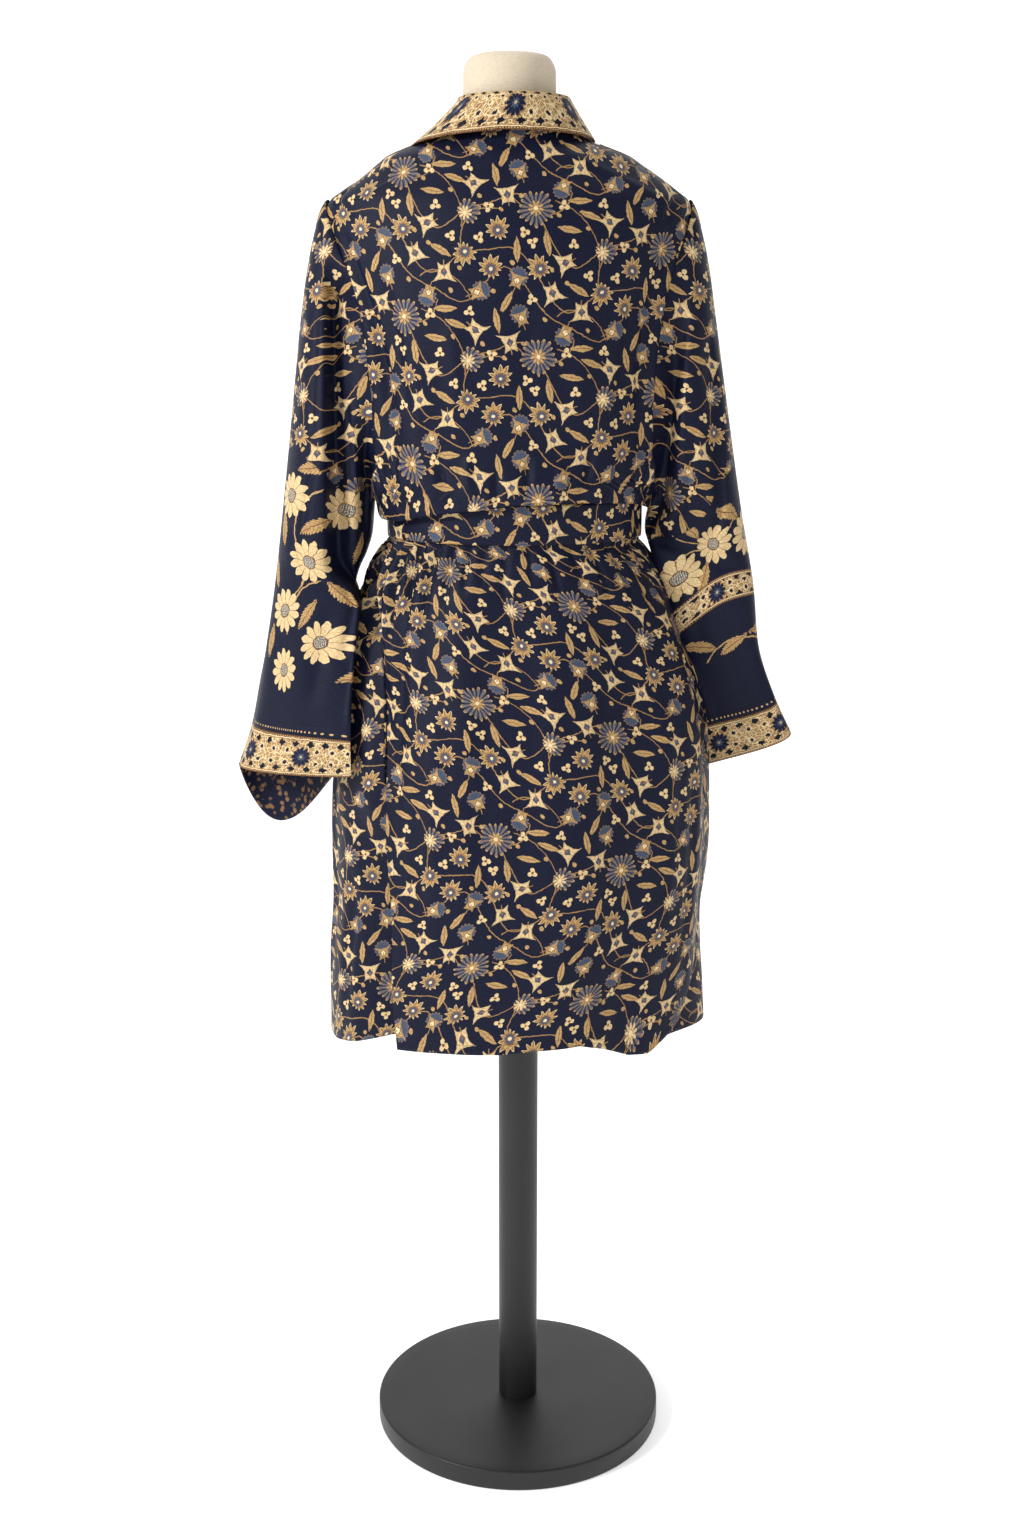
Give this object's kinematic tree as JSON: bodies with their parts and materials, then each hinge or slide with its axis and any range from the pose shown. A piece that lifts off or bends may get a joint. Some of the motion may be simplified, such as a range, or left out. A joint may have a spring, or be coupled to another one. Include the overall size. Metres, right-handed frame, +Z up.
{
  "type": "long kimono jacket on a dress form",
  "caption": "Long open-front kimono jacket with wide elbow-gathered sleeves, banded cuffs, shawl collar and knotted tie belt, worn by a smooth limbless dress form on a pole and round foot.",
  "frame": {"origin": "centre of the round foot's underside, on the floor", "axes": "+Z up along the pole; +Y is where the jacket's back faces; +X is the wearer's left"},
  "size_m": [0.6262, 0.34, 1.574],
  "materials": {
    "print_silk": "navy silk with a small all-over flower print in gold, cream and blue-grey",
    "border_silk": "gold silk border with navy rosettes, swirls and dotted edges",
    "form_linen": "cream linen, plain woven, stretched smooth",
    "stand_black": "black satin paint"
  },
  "bodies": {
    "root": {"form_torso": "form_linen", "stand_pole": "stand_black", "stand_base": "stand_black", "back": "print_silk", "front_left": "print_silk", "front_right": "print_silk", "sleeve_left": "print_silk", "sleeve_right": "print_silk", "belt": "print_silk", "belt_knot": "print_silk", "belt_tail_left": "print_silk", "belt_tail_right": "print_silk", "collar": "border_silk", "band_left": "border_silk", "band_right": "border_silk", "cuff_left": "border_silk", "cuff_right": "border_silk"}
  },
  "joints": []
}
